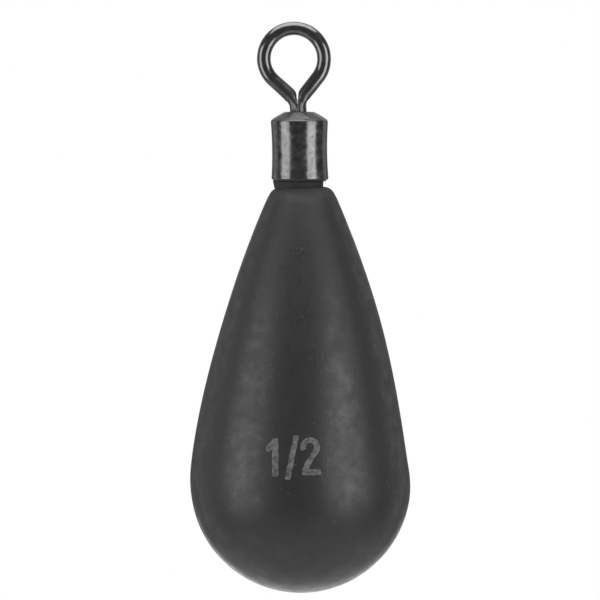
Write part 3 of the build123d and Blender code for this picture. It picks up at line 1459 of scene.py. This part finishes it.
@dataclass
class Studio:
    """A white room: a ring of dark and grey cards round the hanging sinker, four lamps and a pale floor.

    The centre comes from the frame and is in metres.
    """

    centre: Vector
    softboxes: tuple[Softbox, ...] = (
        Softbox("left_softbox", -61.5, 0.5, half_width=19.5, half_height=27.0, brightness=2.45),
        Softbox("right_softbox", 51.0, 0.5, half_width=19.0, half_height=27.0, brightness=2.9),
        Softbox(
            "top_softbox", -10.0, 86.0, half_width=36.0, half_height=30.0, brightness=2.35, distance=125.0
        ),
        Softbox("low_softbox", 180.0, -34.0, half_width=15.0, half_height=18.0, brightness=0.6),
    )
    card_radius: float = 160.0
    card_top: float = 270.0
    card_sides: int = 144
    dark_card: float = 0.2
    grey_card: float = 0.6
    # The grey cards start at these azimuths on the left and the right, and end alike
    left_grey_from: float = 105.0
    right_grey_from: float = 113.0
    grey_to: float = 137.0
    # Beyond this azimuth the wall behind is open, but for a dark strip between these heights
    open_from: float = 158.0
    strip_foot: float = -30.0
    strip_top: float = 12.0
    floor_drop: float = 85.0
    floor_radius: float = 159.0
    floor_sides: int = 96
    floor_paper: str = "#E8E8E8"
    floor_glow: float = 0.35
    wall_paint: str = "#FFFFFF"
    ambient: float = 0.35
    # What one pixel of the picture covers at the sinker, and how many pixels wide the picture is
    pixel: float = 0.045
    image_size: int = 600
    sensor_width: float = 36.0
    clip_start: float = 10.0
    camera_distance: float = 340.0
    camera_elevation: float = 2.0
    aim: tuple[float, float, float] = (0.0, 0.0, -10.877)

    def floor_place(self) -> Matrix:
        """Where the middle of the floor lies."""
        return Matrix.Translation(self.centre - Vector((0.0, 0.0, self.floor_drop * MM)))

    def card_material(self, name: str, brightness: float) -> bpy.types.Material:
        """Make a card that shows an even brightness to whatever reflects it.

        Args:
            name: The material's name.
            brightness: Its brightness, where one is white.

        Returns:
            The card's material.
        """
        material, tree = new_tree(name)
        glow = add_node(tree, "ShaderNodeEmission", {"Strength": brightness})
        add_node(tree, "ShaderNodeOutputMaterial", {"Surface": glow.outputs[0]})
        return material

    def stage_object(self, mesh: bmesh.types.BMesh, name: str) -> bpy.types.Object:
        """Make a piece of the stage from a mesh.

        Args:
            mesh: The modelled mesh, in metres.
            name: The piece's name.

        Returns:
            The piece's object.
        """
        stand = make_object(mesh, name)
        stand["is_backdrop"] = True
        log.info("%s: part of the stage", name)
        return stand

    def raise_cards(self) -> None:
        """Stand dark cards in front, grey ones at the sides, and behind a dark strip between open white."""
        mesh = bmesh.new()
        bmesh.ops.create_circle(
            mesh, segments=self.card_sides, radius=self.card_radius * MM, matrix=self.floor_place()
        )
        wall = Sweep(mesh, mesh.edges[:])
        levels = (-self.floor_drop, self.strip_foot, self.strip_top, self.card_top)
        for below, above in zip(levels, levels[1:]):
            wall.run(0.0, above - below)
        opened = []
        for face in mesh.faces:
            middle = (face.calc_center_median() - self.centre) / MM
            turn = abs(math.degrees(math.atan2(middle.x, -middle.y)))
            grey_from = self.right_grey_from if middle.x > 0 else self.left_grey_from
            face.material_index = int(grey_from < turn < self.grey_to)
            if turn > self.open_from and not self.strip_foot < middle.z < self.strip_top:
                opened.append(face)
        bmesh.ops.delete(mesh, geom=opened, context="FACES")
        cards = self.stage_object(mesh, "studio_cards")
        cards.data.materials.append(self.card_material("card_black_felt", self.dark_card))
        cards.data.materials.append(self.card_material("card_grey_paper", self.grey_card))
        cards.visible_camera = False

    def lay_floor(self) -> None:
        """Lay the pale floor, which looks white to the camera and keeps the sinker's shadow."""
        mesh = bmesh.new()
        bmesh.ops.create_circle(
            mesh,
            cap_ends=True,
            segments=self.floor_sides,
            radius=self.floor_radius * MM,
            matrix=self.floor_place(),
        )
        floor = self.stage_object(mesh, "studio_floor")
        material, tree = new_tree("floor_white_paper")
        seen = add_node(tree, "ShaderNodeLightPath").outputs["Is Camera Ray"]
        paper = add_node(tree, "ShaderNodeBsdfDiffuse", {"Color": linear(self.floor_paper)}).outputs[0]
        glow = add_node(tree, "ShaderNodeEmission", {"Strength": self.floor_glow}).outputs[0]
        lit = add_node(tree, "ShaderNodeAddShader", {0: paper, 1: glow}).outputs[0]
        shown = add_node(tree, "ShaderNodeMixShader", {0: seen, 1: paper, 2: lit}).outputs[0]
        add_node(tree, "ShaderNodeOutputMaterial", {"Surface": shown})
        floor.data.materials.append(material)

    def paint_world(self) -> None:
        """Paint the room white to the camera and to reflections, and a plain grey to everything else."""
        world = bpy.data.worlds.new("white_room")
        bpy.context.scene.world = world
        world.use_nodes = True
        tree = world.node_tree
        tree.nodes.clear()
        path = add_node(tree, "ShaderNodeLightPath").outputs
        seen = path["Is Camera Ray"]
        for ray in ("Is Glossy Ray", "Is Transmission Ray"):
            either = {"operation": "MAXIMUM", 0: seen, 1: path[ray]}
            seen = add_node(tree, "ShaderNodeMath", either).outputs[0]
        room, white = (
            add_node(tree, "ShaderNodeBackground", {"Color": linear(self.wall_paint), "Strength": strength})
            for strength in (self.ambient, 1.0)
        )
        shown = {0: seen, 1: room.outputs[0], 2: white.outputs[0]}
        mixed = add_node(tree, "ShaderNodeMixShader", shown)
        add_node(tree, "ShaderNodeOutputWorld", {"Surface": mixed.outputs[0]})

    def place_camera(self) -> None:
        """Place the camera at the photograph's angle, far enough back to look nearly flat on."""
        data = bpy.data.cameras.new("product_camera")
        data.sensor_width = self.sensor_width
        data.lens = self.sensor_width * self.camera_distance / (self.pixel * self.image_size)
        data.clip_start = self.clip_start * MM
        camera = bpy.data.objects.new("product_camera", data)
        back = heading(0.0, self.camera_elevation)
        camera.location = (Vector(self.aim) + back * self.camera_distance) * MM
        camera.rotation_mode = "QUATERNION"
        camera.rotation_quaternion = (-back).to_track_quat("-Z", "Y")
        bpy.context.scene.collection.objects.link(camera)
        bpy.context.scene.camera = camera

    def build(self) -> None:
        """Set up the whole studio."""
        bpy.context.scene.view_settings.view_transform = "Standard"
        self.paint_world()
        self.raise_cards()
        self.lay_floor()
        for softbox in self.softboxes:
            softbox.hang(self.centre)
        self.place_camera()


def main() -> None:
    """Load the frame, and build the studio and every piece."""
    logging.basicConfig(level=logging.INFO, format="%(name)s: %(message)s")
    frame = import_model()
    cad_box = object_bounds()
    Studio(centre=(cad_box[0] + cad_box[1]) / 2).build()
    body = SinkerBody()
    body.dress()
    WeightMark(body).dress()
    NeckBush().dress()
    SwivelBarrel().dress()
    LineEye().dress()
    dress_hidden(frame["nodes"])


if __name__ == "__main__":
    main()
